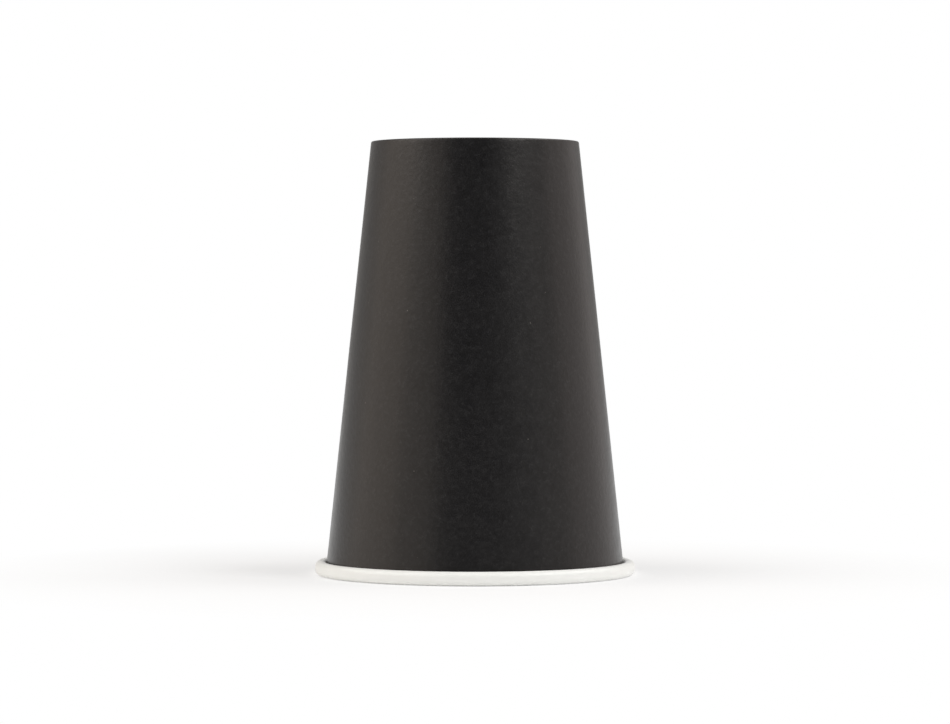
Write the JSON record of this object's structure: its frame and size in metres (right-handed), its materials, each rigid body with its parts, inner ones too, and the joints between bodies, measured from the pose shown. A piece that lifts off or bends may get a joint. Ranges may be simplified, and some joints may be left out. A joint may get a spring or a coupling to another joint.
{
  "type": "paper cup",
  "caption": "Tapered single-wall paper cup standing upside down on its rolled rim, with a lapped side seam and a base recessed in a folded foot.",
  "frame": {"origin": "centre of the rolled rim, on the surface that the cup stands on", "axes": "+Z along the cup's axis, from the rim up to the foot; the cup is upside down"},
  "size_m": [0.08, 0.08, 0.108],
  "materials": {
    "printed_board": "black print on coated paperboard, satin",
    "white_board": "white coated paperboard, satin"
  },
  "bodies": {
    "root": {"side_wall": "printed_board", "base": "white_board"}
  },
  "joints": []
}
